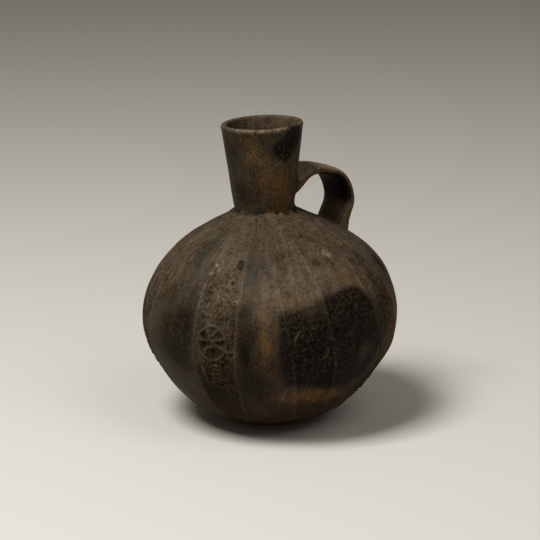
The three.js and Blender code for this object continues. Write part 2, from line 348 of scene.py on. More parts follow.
def rayed_roundel(across, along, points):
    """A ring with six rays that leave a small six-sided inner ring."""
    x = across + 0.7 * soft_noise(points, 5.0, 23)
    y = along + 0.7 * soft_noise(points, 5.0, 24)
    ring = bell(np.hypot(x, y) - RING_RADIUS, 0.9)
    inner = bell(np.hypot(x, y) - INNER_RING_RADIUS, 0.7)
    reaches = (INNER_RING_RADIUS, RING_RADIUS)
    rays = [[(reach * math.cos(a), reach * math.sin(a)) for reach in reaches] for a in RAY_ANGLES]
    patchy = 0.75 + 0.45 * soft_noise(points, 6.0, 25)
    return patchy * np.max([1.2 * ring, inner, 0.95 * drawn(x, y, rays, 0.7)], axis=0)


def lower_figure(across, along, points):
    """Short bars and a scroll of wavy lines below the front roundel."""
    x = across - STAR_MIDDLE + 0.6 * soft_noise(points, 4.0, 26)
    y = along + 0.6 * soft_noise(points, 4.0, 27)
    return 0.95 * drawn(x, y, FIGURE_LINES, 0.7)


def roundel_relief(across, along, band, points):
    """The roundels of all bands, and how far each place counts as inside one."""
    across = across - np.where(band == 0, STAR_MIDDLE, 0)
    reach = np.hypot(across, along)
    lift = np.zeros(len(across))
    for odd, roundel in enumerate((star_roundel, rayed_roundel)):
        here = (reach < ROUNDEL_REACH) & (band % 2 == odd)
        lift[here] = roundel(across[here], along[here], points[here])
    inside = 1 - ramp(reach, RING_RADIUS - 0.5, RING_RADIUS + 2.2)
    return lift * ROUNDEL_CLEARNESS[band], inside * ROUNDEL_CLEARNESS[band]


# %% [markdown]
# Then come the marks that made this one jug: a flaked chip, an oval spall, pinholes, grit,
# scratches, and the ragged groove where the neck was luted to the shoulder.

# %% Marks of making and wear
# Azimuth, height, half width across and up in mm, depth in mm
DENTS = [
    (-151, 118.5, 2.7, 3.8, 0.6), (-150.2, 120.5, 1.2, 1.2, 0.5), (-152.6, 109, 1, 1.6, 0.6),
    (-153.8, 104, 1.3, 1.1, 0.6), (-151.6, 106, 0.9, 0.9, 0.5), (-155.5, 101, 1.1, 0.8, 0.5),
    (-152, 98.5, 0.8, 0.8, 0.4), (-92, 123, 2.8, 1.7, 0.3), (-78.4, 125.6, 0.6, 0.6, 0.7),
    (-135.5, 136.5, 0.6, 0.9, 0.5), (-164, 112, 0.7, 0.7, 0.45), (-162.5, 121, 0.8, 0.7, 0.4),
    (-159, 124.5, 0.6, 0.6, 0.4), (-157, 115, 0.6, 0.7, 0.4), (-121, 129, 0.6, 0.7, 0.35),
    (-99, 131, 0.6, 0.6, 0.35), (-84, 128.5, 1.4, 0.6, 0.3), (-110, 121, 0.5, 0.5, 0.3),
    (64, 118, 1.6, 1.1, 0.5), (-20, 40, 1.5, 2, 0.5),
]
# The same for small lumps, with a lift in mm
LUMPS = [
    (-148.3, 99.1, 1.6, 1.5, 0.7), (-164.7, 117, 1, 0.9, 0.4), (-137.2, 86, 1.3, 1.1, 0.35),
    (-98, 112, 1.2, 1, 0.3), (95, 104, 1.4, 1.2, 0.4),
]
# Azimuth, height, turn in degrees, rise, half width and depth in mm
SCRATCHES = [
    (-140, 127.4, 9, -0.4, 0.45, 0.22), (-183, 62, -0.4, 34, 0.9, 0.25), (-142, 60, 3, -8, 0.4, 0.2),
    (-88, 80, 1.5, 11, 0.35, -0.2), (-97.5, 74, 1.5, -8, 0.35, -0.2), (-176, 72, -0.2, 18, 0.6, -0.25),
]
GROOVE_HEIGHT = 143.6


def spot_reach(azimuth, height, spot_azimuth, spot_height, half_across, half_up):
    """How far a place is from a spot's middle, counted in the spot's own half widths."""
    across = np.radians(wrapped(azimuth - spot_azimuth)) * body_radius(height)
    slant = body_normal(np.array([spot_height]))[0][0]
    up = (height - spot_height) / np.maximum(slant, 0.3)
    return np.hypot(across / half_across, up / half_up)


def worn_marks(azimuth, height, points):
    """Lift in mm of the dents, lumps and scratches: a dent has a ragged edge and a flat bed."""
    lift = np.zeros(len(azimuth))
    ragged = 1 + 0.25 * soft_noise(points, 1.6, 31)
    for *spot, depth in DENTS:
        reach = spot_reach(azimuth, height, *spot) * ragged
        lift -= depth * (1 - ramp(reach, 0.6, 1.25))
    for *spot, rise in LUMPS:
        lift += rise * bell(spot_reach(azimuth, height, *spot), 1.0)
    to_mm = np.radians(1) * body_radius(height)
    for start_azimuth, start_height, turn, rise, half_width, depth in SCRATCHES:
        across, up = wrapped(azimuth - start_azimuth), height - start_height
        share = np.clip(across / turn if abs(turn) > abs(rise) else up / rise, 0, 1)
        reach = np.hypot(wrapped(across - share * turn) * to_mm, up - share * rise)
        lift -= depth * bell(reach, half_width)
    return lift


def neck_groove(height, points):
    """The ragged groove and crumbs where the neck was luted on."""
    uneven = 0.5 + 0.5 * soft_noise(points, 4.0, 33)
    level = height - GROOVE_HEIGHT - 0.9 * soft_noise(points, 11.0, 34)
    groove = -1.0 * uneven * bell(level, 1.0)
    crumbs = 0.7 * soft_noise(points, 2.6, 35) * bell(level + 0.6, 2.6)
    return groove + crumbs


def pebble_strokes(azimuth, up):
    """Places on a cylinder as wide as the belly, for noise drawn up it."""
    turn = np.radians(azimuth)
    return np.stack([BELLY_RADIUS * np.cos(turn), BELLY_RADIUS * np.sin(turn), up], axis=1)


def hand_unevenness(points, azimuth, along):
    """Broad soft swells, and long narrow facets left by the burnishing pebble."""
    swell = 0.16 * soft_noise(points, 34.0, 41) + 0.10 * soft_noise(points, 15.0, 42)
    strokes = pebble_strokes(azimuth, 0.10 * along)
    facets = 0.10 * soft_noise(strokes, 6.0, 43) + 0.05 * soft_noise(strokes, 2.6, 44)
    return swell + facets - 0.12


def clay_relief(azimuth, height, points):
    """All the relief of the body together, in mm along the outward direction."""
    band, offset, across, along = band_place(azimuth, height)
    fill = band_fill(offset, height)
    roundels, inside = roundel_relief(across, along, band, points)
    lift = edge_ridges(offset, height, points) + roundels
    kept = np.where(band == WORN_BAND, 0.5, 1.0) * (1 - 0.6 * inside)
    lift += goose_skin(across, along, band, height, points) * fill * kept
    lift -= BAND_SINK * inside
    front = band == 0
    lift[front] += lower_figure(across[front], along[front], points[front])
    for x, y, radius in STAR_PITS:
        lift -= front * 0.8 * bell(np.hypot(across - STAR_MIDDLE - x, along - y), radius)
    lift += front * 0.6 * drawn(across - STAR_MIDDLE, along, [ROUNDEL_LINK], 0.8)
    lift += worn_marks(azimuth, height, points)
    lift += neck_groove(height, points)
    return lift + hand_unevenness(points, azimuth, along)


# %% [markdown]
# The clay is one skin: up the outside, round the lip and down the inside to the floor. Solidify
# gives one thickness, but the wall is 4 mm at the lip and 5.5 mm in the body, so it has inner rings.

# %% The rings of the skin
ROW_SPACINGS = ((0, 2.4), (15, 2.0), (19, 0.86), (126, 0.86), (130, 1.5), (138, 1.0), (143.5, 0.9))
NECK_ROWS = 17
LIP_ROUNDING = 1.6
LIP_STEPS = 4
INNER_NECK_ROWS = 6
INNER_BODY_ROWS = 14
BORE_START = -0.06
INNER_TOP = 134.0
FOOT_ROUNDING = 0.5
FOOT_RELIEF_START = 6.0


def graded_heights():
    """Body heights spaced along the profile by ROW_SPACINGS, so the relief gets most rows."""
    known, spacing = np.array(ROW_SPACINGS).T
    density = 1 / np.interp(PROFILE_HEIGHTS, known, spacing)
    counted = np.concatenate([[0], np.cumsum(PROFILE_STEPS * (density[1:] + density[:-1]) / 2)])
    rows = int(round(counted[-1]))
    return np.interp(np.linspace(0, counted[-1], rows + 1), counted, PROFILE_HEIGHTS)


def neck_rings(t, inset):
    """The neck's rings from 0 at its foot to 1 at its mouth, set in by a wall."""
    made = NECK_FOOT + np.multiply.outer(t, MOUTH - NECK_FOOT)
    made[:, 1] -= inset
    return made


def lip_rings(inset, side):
    """The lip's rounded edge: a quarter circle from the wall to the crest."""
    angle = np.linspace(0, math.pi / 2, LIP_STEPS + 1)
    rings = np.repeat(neck_rings([1.0], inset), LIP_STEPS + 1, axis=0)
    rings[:, 0] -= LIP_ROUNDING * (1 - np.sin(angle))
    rings[:, 1] -= side * LIP_ROUNDING * (1 - np.cos(angle))
    return rings


def body_rings(heights, inset):
    """The body's rings: height, radius, middle and no slope, set in along the normal."""
    normal_out, normal_up = body_normal(heights)
    x, y = [smooth_curve(heights, BODY_HEIGHTS, middle) for middle in BODY_MIDDLES]
    level = heights - inset * normal_up
    radius = body_radius(heights) - inset * normal_out
    return np.column_stack([level, radius, x, y, 0 * x, 0 * y])


outer_heights = graded_heights()
outer_body = body_rings(outer_heights, 0)
outer_body[0, 0] = FOOT_ROUNDING
foot_rings = np.repeat(outer_body[:1], 3, axis=0)
foot_rings[:, 0] = 0
foot_rings[:, 1] = (8.0, 17.0, BODY_RADII[0] - 2 * FOOT_ROUNDING)
neck_shares = np.linspace(0, 1, NECK_ROWS, endpoint=False) ** 1.15
inner_body = body_rings(np.linspace(0, INNER_TOP, INNER_BODY_ROWS), BODY_WALL)
inner_body[:, 0] = np.maximum(inner_body[:, 0], FLOOR)
floor_rings = inner_body[:1].copy()
floor_rings[:, 1] = 9.0
inner_neck = neck_rings(np.linspace(BORE_START, 1, INNER_NECK_ROWS, endpoint=False), NECK_WALL)
rings = np.concatenate([
    foot_rings, outer_body, neck_rings(neck_shares, 0), lip_rings(0, 1),
    lip_rings(NECK_WALL, -1)[::-1], inner_neck[::-1], inner_body[::-1], floor_rings,
])
body_end = len(foot_rings) + len(outer_body)
body_rows = slice(len(foot_rings), body_end)
neck_rows = slice(body_end, body_end + NECK_ROWS + 2 * (LIP_STEPS + 1))
print(len(rings), "rings,", 2 * len(rings) * COLUMNS, "triangles")

# %% The skin's points, with the relief put on
ring_azimuths = column_azimuths(rings[:, 0])
turn = np.radians(ring_azimuths)
level, radius, middle_x, middle_y, slope_x, slope_y = rings.T[:, :, None]
x = radius * np.cos(turn)
y = radius * np.sin(turn)
plain = np.stack([middle_x + x, middle_y + y, level + (slope_x * x + slope_y * y)], axis=2)
skin = plain.copy()


def push_out(rows, lift, out, up):
    """Move rows of the skin by mm of lift, in a direction given outwards and up."""
    angle = turn[rows].ravel()
    way = np.stack([out * np.cos(angle), out * np.sin(angle), up], axis=1)
    skin[rows] += (way * lift[:, None]).reshape(skin[rows].shape)


height = np.repeat(outer_heights, COLUMNS)
lift = clay_relief(ring_azimuths[body_rows].ravel(), height, plain[body_rows].reshape(-1, 3))
lift *= ramp(height, FOOT_ROUNDING, FOOT_RELIEF_START)
push_out(body_rows, lift, *body_normal(height))

points = plain[neck_rows].reshape(-1, 3)
neck_lift = 0.22 * soft_noise(points, 17.0, 51) + 0.12 * soft_noise(points, 6.5, 52)
neck_lift += neck_groove(points[:, 2], points) - 0.1
push_out(neck_rows, neck_lift, 1.0, np.zeros_like(neck_lift))

# The CAD part's origin is under the middle of its box, which moves it this far
CENTRING = np.array([-0.136, 0.138, 0.0])


def linked(name, data):
    """A new object in the scene."""
    made = bpy.data.objects.new(name, data)
    bpy.context.scene.collection.objects.link(made)
    return made


def capped_mesh(name, grid, first_pole, last_pole):
    """A closed mesh from a grid of rings in mm, with a fan to a pole at each end."""
    row_count, column_count, _ = grid.shape
    points = np.concatenate([grid.reshape(-1, 3), [first_pole, last_pole]]) * MM
    here = np.arange(column_count)
    after = (here + 1) % column_count
    low = np.arange(row_count - 1)[:, None] * column_count
    high = low + column_count
    quads = np.stack([low + here, low + after, high + after, high + here], axis=2)
    pole = np.full_like(here, row_count * column_count)
    last = (row_count - 1) * column_count
    start_fan = np.stack([after, here, pole], axis=1)
    end_fan = np.stack([last + here, last + after, pole + 1], axis=1)
    mesh = bpy.data.meshes.new(name)
    faces = quads.reshape(-1, 4).tolist() + start_fan.tolist() + end_fan.tolist()
    mesh.from_pydata(points, [], faces)
    return linked(name, mesh)


under_foot = [*rings[0, 2:4], 0] + CENTRING
over_floor = [*rings[-1, 2:4], FLOOR] + CENTRING
vessel = capped_mesh("clay_jug", skin + CENTRING, under_foot, over_floor)
print("skin:", len(vessel.data.vertices), "points, lift", lift.min().round(2), lift.max().round(2))

# %% [markdown]
# The handle is a strap of clay, pulled, bent over and pressed on while leather hard, so it is
# thick at both ends. It is a rounded flat section carried along the curve of the CAD source.

# %% The strap handle
STRAP_LINE = np.array([
    (14, 155.5), (20, 157.9), (32.5, 164), (47.1, 163.2), (61.2, 157.1), (68.3, 140.6),
    (62.6, 125.8), (58.5, 113),
])
STRAP_WIDTH = 27.0
STRAP_THICKNESS = 7.2
NECK_FLARE = 6.5
FOOT_FLARE = 6.0
NECK_FLARE_LENGTH = 0.21
FOOT_FLARE_LENGTH = 0.24
STRAP_SQUARENESS = 3
STRAP_RINGS = 84
STRAP_SIDES = 64


def passing_curve(points, samples):
    """A centripetal Catmull-Rom curve: the time between two points is the root of their distance,
    and the slope at a point is the one before it plus the one after it less the one across."""
    ends = [2 * points[0] - points[1]], points, [2 * points[-1] - points[-2]]
    known = np.concatenate(ends)
    times = np.sqrt(np.linalg.norm(np.diff(known, axis=0), axis=1))
    before, during, after = times[:-2, None], times[1:-1, None], times[2:, None]
    p0, p1, p2, p3 = known[:-3], known[1:-2], known[2:-1], known[3:]
    leave = (p1 - p0) / before - (p2 - p0) / (before + during) + (p2 - p1) / during
    arrive = (p2 - p1) / during - (p3 - p1) / (during + after) + (p3 - p2) / after
    t = np.linspace(0, 1, samples, endpoint=False)[:, None, None]
    blend = t * t * (3 - 2 * t)
    pieces = p1 + (p2 - p1) * blend + during * leave * t * (1 - t) ** 2
    pieces = pieces - during * arrive * t ** 2 * (1 - t)
    path = pieces.transpose(1, 0, 2).reshape(-1, points.shape[1])
    return np.concatenate([path, points[-1:]])


def strap_points():
    """The strap as rings of a rounded flat section, square to its line."""
    path = passing_curve(STRAP_LINE, 60)
    arc = np.concatenate([[0], np.cumsum(np.linalg.norm(np.diff(path, axis=0), axis=1))])
    share = np.linspace(0, 1, STRAP_RINGS + 1)
    line = np.stack([np.interp(share * arc[-1], arc, path[:, k]) for k in (0, 1)], axis=1)
    tangent = np.gradient(line, axis=0)
    tangent /= np.linalg.norm(tangent, axis=1)[:, None]
    to_neck = np.clip(1 - share / NECK_FLARE_LENGTH, 0, 1) ** 2
    to_foot = np.clip(1 - (1 - share) / FOOT_FLARE_LENGTH, 0, 1) ** 2
    thickness = STRAP_THICKNESS + NECK_FLARE * to_neck + FOOT_FLARE * to_foot
    width = STRAP_WIDTH + FOOT_FLARE * to_foot
    angle = 2 * math.pi * np.arange(STRAP_SIDES) / STRAP_SIDES
    bend = 2 / STRAP_SQUARENESS
    out, side = [np.sign(w) * np.abs(w) ** bend / 2 for w in (np.cos(angle), np.sin(angle))]
    offset = np.multiply.outer(thickness, out)
    x = line[:, :1] - tangent[:, 1:] * offset
    z = line[:, 1:] + tangent[:, :1] * offset
    y = -np.multiply.outer(width, side)
    grid = np.stack([x + NECK_FOOT[2], y + NECK_FOOT[3], z], axis=2)
    return grid, arc[-1]


def strap_relief(grid):
    """Soft swells and granular pits on the strap, along its own surface normal."""
    along = np.gradient(grid, axis=0)
    around = np.roll(grid, -1, axis=1) - np.roll(grid, 1, axis=1)
    normal = np.cross(around, along)
    normal /= np.linalg.norm(normal, axis=2)[..., None]
    points = grid.reshape(-1, 3)
    lift = 0.25 * soft_noise(points, 14.0, 61) + 0.14 * soft_noise(points, 5.0, 62)
    grains = np.abs(soft_noise(points, 2.2, 63))
    top = ramp(points[:, 2], 156, 162)
    lift -= (0.10 + 0.35 * top) * (1 - ramp(grains, 0.0, 0.35))
    return grid + normal * lift.reshape(grid.shape[:2])[..., None]


strap, strap_length = strap_points()
strap = strap_relief(strap) + CENTRING
handle = capped_mesh("strap", strap, strap[0].mean(axis=0), strap[-1].mean(axis=0))
print("strap length", round(strap_length, 1), "mm")

# %% [markdown]
# The strap and the wall are one clay, so a Boolean joins them into one skin. The sharp line
# between them is then worked over as by a thumb: points there move towards their neighbours' mean.

# %% Joining the handle to the wall
union = vessel.modifiers.new("join", "BOOLEAN")
union.operation = "UNION"
union.solver = "MANIFOLD"
union.object = handle
depsgraph = bpy.context.evaluated_depsgraph_get()
joined_mesh = bpy.data.meshes.new_from_object(vessel.evaluated_get(depsgraph))
vessel.modifiers.clear()
spent = (vessel.data, handle.data)
vessel.data = joined_mesh
bpy.data.objects.remove(handle)
for mesh in spent:
    bpy.data.meshes.remove(mesh)
print("joined:", len(vessel.data.vertices), "points")

# %% Working the joint over
JOINT_REACH = 3.2
JOINT_ROUNDS = 14
JOINT_STEP = 0.6
JOINT_ANGLE = math.radians(16)
JOINT_LOW = np.array([4.0, -24.0, 104.0])
JOINT_HIGH = np.array([84.0, 24.0, 176.0])


def read_array(collection, name, width=3, kind=np.float32):
    """One property of all items of a mesh collection, as an array of rows."""
    values = np.empty(len(collection) * width, dtype=kind)
    collection.foreach_get(name, values)
    return values.reshape(-1, width) if width > 1 else values


def hollow_edges(mesh, points):
    """Points on edges where the surface folds inwards more sharply than JOINT_ANGLE."""
    face_normals = read_array(mesh.polygons, "normal")
    face_centres = read_array(mesh.polygons, "center")
    face_sizes = read_array(mesh.polygons, "loop_total", 1, np.int32)
    edge_of_loop = read_array(mesh.loops, "edge_index", 1, np.int32)
    face_of_loop = np.repeat(np.arange(len(mesh.polygons)), face_sizes)
    order = np.argsort(edge_of_loop, kind="stable")
    one, two = face_of_loop[order].reshape(-1, 2).T
    turned = np.einsum("ij,ij->i", face_normals[one], face_normals[two])
    towards = np.einsum("ij,ij->i", face_centres[two] - face_centres[one], face_normals[one])
    folded = (np.arccos(np.clip(turned, -1, 1)) > JOINT_ANGLE) & (towards > 0)
    ends = read_array(mesh.edges, "vertices", 2, np.int32)[folded]
    near = points[np.unique(ends)]
    inside = ((near > JOINT_LOW) & (near < JOINT_HIGH)).all(axis=1)
    return near[inside]


def work_over(mesh):
    """Move points near the joint towards the mean of their neighbours, again and again."""
    points = read_array(mesh.vertices, "co").astype(float) / MM
    folds = hollow_edges(mesh, points)
    near = ((points > JOINT_LOW - 5) & (points < JOINT_HIGH + 5)).all(axis=1)
    distance = np.full(len(points), 1e9)
    for block in np.array_split(np.flatnonzero(near), 24):
        gaps = np.linalg.norm(points[block][:, None, :] - folds[None, :, :], axis=2)
        distance[block] = gaps.min(axis=1)
    weight = np.clip(1 - distance / JOINT_REACH, 0, 1)[:, None]
    ends = read_array(mesh.edges, "vertices", 2, np.int32)
    ends = ends[near[ends].any(axis=1)]
    both = np.concatenate([ends, ends[:, ::-1]])
    count = np.maximum(np.bincount(both[:, 0], minlength=len(points)), 1)[:, None]
    for _ in range(JOINT_ROUNDS):
        sums = [np.bincount(both[:, 0], points[both[:, 1], k], len(points)) for k in range(3)]
        points += JOINT_STEP * weight * (np.stack(sums, axis=1) / count - points)
    return points, len(folds)


points, fold_count = work_over(vessel.data)
points = np.clip(points, cad_low / MM, cad_high / MM)
vessel.data.vertices.foreach_set("co", (points * MM).astype(np.float32).ravel())
vessel.data.update()
print("points on the joint's fold:", fold_count)

# %% [markdown]
# Blackware is fired in a smothered fire: soot turned the clay black, and where air came in the
# iron turned brown or ochre. Each cloud is a soft oval or outline placed by azimuth and height.

# %% Where every point lies on the jug
place = points - CENTRING
height = place[:, 2]
middle_x, middle_y = ring_middle(height)
azimuth = np.degrees(np.arctan2(place[:, 1] - middle_y, place[:, 0] - middle_x))
reach = np.hypot(place[:, 0] - middle_x, place[:, 1] - middle_y)
neck_radius = NECK_FOOT[1] + neck_share(height) * (MOUTH[1] - NECK_FOOT[1])
on_neck = height > BODY_TOP
normal_out, normal_up = body_normal(np.clip(height, 0, BODY_TOP))
stand_off = np.where(on_neck, reach - neck_radius, (reach - body_radius(height)) * normal_out)
inside_wall = 1 - ramp(stand_off, -3.0, -2.0)
beside = (place[:, 0] > 8) & (np.abs(place[:, 1]) < 24) & (height > 104) & (height < 172)
on_strap = np.where(beside, ramp(stand_off, 0.8, 2.6), 0)
vertex_normals = read_array(vessel.data.vertices, "normal").astype(float)

# %% The fire's clouds, with the painted sheen, highlights and shade
DEGREE_ON_BELLY = math.radians(1) * BELLY_RADIUS
LAYER_MOST = 1.3
CLOUD_MIDDLE = -100
# Azimuth and height of the corners of the great black cloud
CLOUD_OUTLINE = [
    (-124.5, 43), (-127.5, 52), (-128.5, 66), (-128.5, 82), (-128.5, 93), (-120, 97),
    (-110, 99.5), (-99, 102), (-90, 104), (-84, 103), (-79, 95), (-76, 82), (-74, 68), (-75, 54),
    (-80, 42), (-90, 36), (-101, 38), (-112, 41),
]
# Azimuth, height, half turn in degrees, half rise in mm, strength, and any lean in degrees a mm
SOOT = [
    (-80, 194, 17, 8, 2), (-107, 187.5, 10, 5.5, 1.6), (-93, 184, 10, 6, 1.5),
    (-112, 199, 10, 5, -1.4), (-114, 93, 9, 6, -0.28), (-85, 62, 5, 9, -0.5),
    (-143, 67, 2.8, 9, 0.8), (-49, 107, 6, 8, 0.8), (-92, 86, 9, 15, 0.7),
    (38, 66, 24, 24, 1.1, 0.1), (84, 100, 15, 14, 0.6), (150, 45, 12, 16, 0.5),
    (-20, 84, 13, 18, 0.6), (30, 180, 25, 12, 0.6),
]
# Deep brown, where the clay was smoked less
STAIN = [
    (-176, 84, 8, 11, 0.95), (-177, 64, 8, 13, 1), (-171, 74, 3, 18, 0.4),
    (-142.2, 74, 4.4, 17, 0.95), (-145, 94, 3.4, 6, 0.6), (-139, 44, 11, 15, 0.8),
    (-160, 38, 10, 17, 0.6), (-104, 119.5, 3.6, 2.6, 0.8), (-133.6, 135, 5, 4, 0.5),
    (-96, 111, 9, 6, 0.3), (-172, 155, 17, 8, 0.8), (-146, 152, 13, 6, 0.55),
    (-196, 186, 13, 14, 0.9), (-176, 184, 10, 9, 0.55), (-166, 170, 6, 13, 0.4),
    (-186, 164, 9, 13, 0.45), (-118, 178, 5, 10, 0.3), (-128, 190, 8, 6, 0.35),
    (-150, 172, 8, 6, 0.5), (-136, 160, 9, 5, 0.45), (-122, 151, 9, 5, 0.4),
    (-150, 195, 11, 3, 0.4), (-112, 169, 5, 5, 0.3), (-60, 62, 6, 12, 0.4), (-66, 36, 12, 9, 0.6),
    (-71, 88, 4, 18, 0.5), (-198, 40, 12, 14, 0.35), (-158, 72, 8, 12, 0.35),
    (-100, 150, 22, 6, 0.4), (-113, 33, 14, 5, -0.7), (-180, 122, 4, 12, 0.35),
    (100, 60, 14, 20, 0.6), (5, 50, 14, 18, 0.6), (60, 90, 10, 22, 0.4), (170, 66, 10, 20, 0.5),
    (90, 165, 30, 16, 0.4),
]
OCHRE = [
    (-134.2, 75, 2.8, 12, 0.95), (-132.6, 53, 2.8, 12, 0.85, -0.05), (-114, 34, 13, 4.5, 1.2),
    (-99, 31, 11, 4, 0.8), (-88, 107, 5, 4, 0.4), (-60, 60, 7, 22, 1.2), (-58, 86, 6, 18, 0.5),
    (-100, 160, 32, 20, 1.1), (-146, 185, 20, 9, 0.75), (-130, 172, 14, 12, 0.5),
    (-180.5, 75, 2.4, 6, 0.4), (-158, 113, 5, 8, 0.2), (-136.5, 90, 3.4, 8, 0.45),
    (-88, 150, 14, 5, 0.5), (62, 52, 6, 20, 0.8), (14, 34, 12, 6, 0.7), (112, 92, 10, 14, 0.5),
    (-30, 50, 6, 14, 0.6), (70, 168, 30, 20, 0.6),
]
ASH = [
    (-153, 106, 12, 14, 0.55), (-137, 92, 5, 16, 0.5), (-209, 92, 9, 30, 0.6),
    (-116, 112, 10, 10, 0.35), (-163, 90, 7, 12, 0.35), (-92, 123, 2.4, 1.8, 1.2),
    (-196, 50, 6, 9, 0.35), (-118, 99, 10, 5, 0.4), (-95, 107, 9, 5, 0.4), (-114, 34, 12, 4, 0.7),
    (-58, 66, 6, 24, 0.7), (-133, 70, 3, 22, 0.3), (20, 112, 30, 14, 0.5), (120, 70, 14, 24, 0.4),
]
# Cool grey patches are a painted sheen: the soft light's reflection on the burnished shoulder, left
# side and neck
PAINTED_SHEEN_SPOTS = [
    (-144, 121, 6, 13, 0.9), (-141, 106, 4, 12, 0.5), (-180, 122, 6, 16, 1.2),
    (-174, 98, 5, 13, 0.8), (-186, 92, 5, 16, 0.5), (-150, 136, 14, 5, 0.3),
    (-163, 98, 8, 22, 0.3), (-198, 170, 14, 30, 0.7), (-170, 176, 12, 16, 0.4),
    (140, 96, 12, 24, 0.6), (45, 118, 12, 14, 0.5),
]
# Where the skin flaked or rubbed down to lighter clay
PALE = [
    (-92, 123, 2.6, 1.9, 1.4), (-163, 98, 8, 22, 0.3), (-165.5, 117.5, 0.9, 0.9, 1),
    (-163.6, 115.6, 0.6, 0.7, 0.9), (-161, 117, 0.6, 0.6, 0.7), (-148.3, 99.1, 1.2, 1.4, 0.35),
    (-137.2, 86, 1.4, 1.4, 0.4), (-140, 127.2, 4, 0.5, 0.6), (-166.5, 113, 0.6, 0.6, 0.7),
    (60, 120, 2, 1.2, 0.8),
]


def outline_depth(azimuth, height, outline):
    """Millimetres inside an outline on the belly, negative outside: the distance to the
    nearest side, with the sign from how often a level line crosses the outline."""
    x = wrapped(azimuth - CLOUD_MIDDLE) * DEGREE_ON_BELLY
    ring = outline + outline[:1]
    closed = [(wrapped(a - CLOUD_MIDDLE) * DEGREE_ON_BELLY, h) for a, h in ring]
    inside = np.zeros(len(x), dtype=bool)
    for (x0, y0), (x1, y1) in zip(closed, closed[1:]):
        crosses = (y0 > height) != (y1 > height)
        if y1 != y0:
            inside ^= crosses & (x < x0 + (height - y0) * (x1 - x0) / (y1 - y0))
    distance = segment_distance(x, height, closed)
    return np.where(inside, distance, -distance)


def all_ovals(spots):
    """The sum of several clouds, each a bell in turn and in height about its own middle."""
    total = np.zeros(len(height))
    for spot_azimuth, spot_height, half_turn, half_rise, strength, *lean in spots:
        rise = height - spot_height
        turn = wrapped(azimuth - spot_azimuth - sum(lean) * rise)
        total += strength * np.exp(-(turn / half_turn) ** 2 - (rise / half_rise) ** 2)
    return total


warp = 1.5 * soft_noise(place, 11.0, 71)
cloud_depth = outline_depth(azimuth + warp, height + warp, CLOUD_OUTLINE)
cloud = ramp(cloud_depth, -4.0, 5.0) * (0.95 + 0.1 * soft_noise(place, 16.0, 72))
uneven_halo = 0.55 + 0.45 * soft_noise(place, 12.0, 73)
halo = 0.6 * bell(cloud_depth + 6.0, 4.5) * ramp(height, 84, 98) * uneven_halo
facing_neck = ramp(-vertex_normals[:, 0] - 0.4 * vertex_normals[:, 2], 0.0, 0.6)
# Near black on the strap's face towards the neck, rising to the top: painted shade in the gap between
# strap and neck
strap_gap_shade = facing_neck * (0.1 + 1.3 * ramp(height, 134, 150))
off_strap = 1 - on_strap
# This layer holds the real black fire cloud and, on the strap, that painted shade
soot_and_shade = (cloud + all_ovals(SOOT)) * off_strap + strap_gap_shade * on_strap
# Darker towards the foot: partly the clay's own darker brown, partly painted shade under the belly;
# the same mask warms the foot with ochre
low = (1 - ramp(height, 6, 60)) * (0.5 + 0.5 * ramp(height, 2, 26))
stain_and_shade = (all_ovals(STAIN) + 0.6 * low) * off_strap
ochre = (halo + all_ovals(OCHRE) + 0.45 * low) * off_strap + on_strap * 1.1 * (1 - facing_neck)
lip = ramp(height, 196.5, 199.0) * (0.85 + 0.35 * soft_noise(place, 7.0, 74)) * (1 - 0.7 * inside_wall)
ash_and_painted_light = all_ovals(ASH) + 0.5 * ramp(height, 82, 116) * (1 - ramp(height, 143, 146)) + lip
ash_and_painted_light = ash_and_painted_light + 1.1 * bell(cloud_depth + 8.0, 6.0) * ramp(height, 84, 98)
ash_and_painted_light = ash_and_painted_light + 0.5 * cloud + 0.5 * inside_wall * ramp(height, 176, 192)
# Lighter colour on the lower part of the strap's face towards the neck, which lies in shade: painted
# light
strap_inner_painted_light = facing_neck * (1 - ramp(height, 134, 148))
ash_and_painted_light = ash_and_painted_light * off_strap + on_strap * (0.9 * (1 - facing_neck) + strap_inner_painted_light)
# The painted sheen in cool grey, kept off the strap
painted_sheen = all_ovals(PAINTED_SHEEN_SPOTS) * off_strap
# Paler on the strap's upward faces: a painted highlight where the top light falls
strap_top_highlight = on_strap * ramp(vertex_normals[:, 2], 0.0, 0.8) * ramp(height, 140, 156)
# The worn pale rim is paler still at the front: a painted highlight
lip_front_highlight = 0.4 + 0.5 * bell(wrapped(azimuth + 142), 26)
pale = all_ovals(PALE) + lip_front_highlight * lip * (1 - np.clip(soot_and_shade, 0, 1)) + 0.85 * strap_top_highlight
# The inside wall is darker deeper down the neck, and the ash layer keeps it lighter near the rim
inside_dark = inside_wall * (1 - ramp(height, 158, 184))

band, offset, across, along = band_place(azimuth, height)
outer_skin = off_strap * (1 - inside_wall)
fill = band_fill(offset, height) * outer_skin * (1 - ramp(height, 140, 144))
stroke = pebble_strokes(azimuth, 0.12 * along + 0.6 * np.maximum(height - BODY_TOP, 0))
sunk = clay_relief(azimuth, height, place) - hand_unevenness(place, azimuth, along)
sunk = np.where(on_neck, neck_groove(height, place), sunk)
layers = {"soot_and_shade": soot_and_shade, "stain_and_shade": stain_and_shade, "ochre": ochre, "ash_and_painted_light": ash_and_painted_light, "painted_sheen": painted_sheen, "pale": pale}
stored = {name: np.clip(values, 0, LAYER_MOST) for name, values in layers.items()}
relief = np.clip(sunk * outer_skin, -1, 1)
stored |= {"band": fill, "relief": relief, "inside": inside_dark, "stroke": stroke * MM}
for name, values in stored.items():
    kind, key = ("FLOAT_VECTOR", "vector") if values.ndim == 2 else ("FLOAT", "value")
    attribute = vessel.data.attributes.new(name, kind, "POINT")
    attribute.data.foreach_set(key, values.astype(np.float32).ravel())
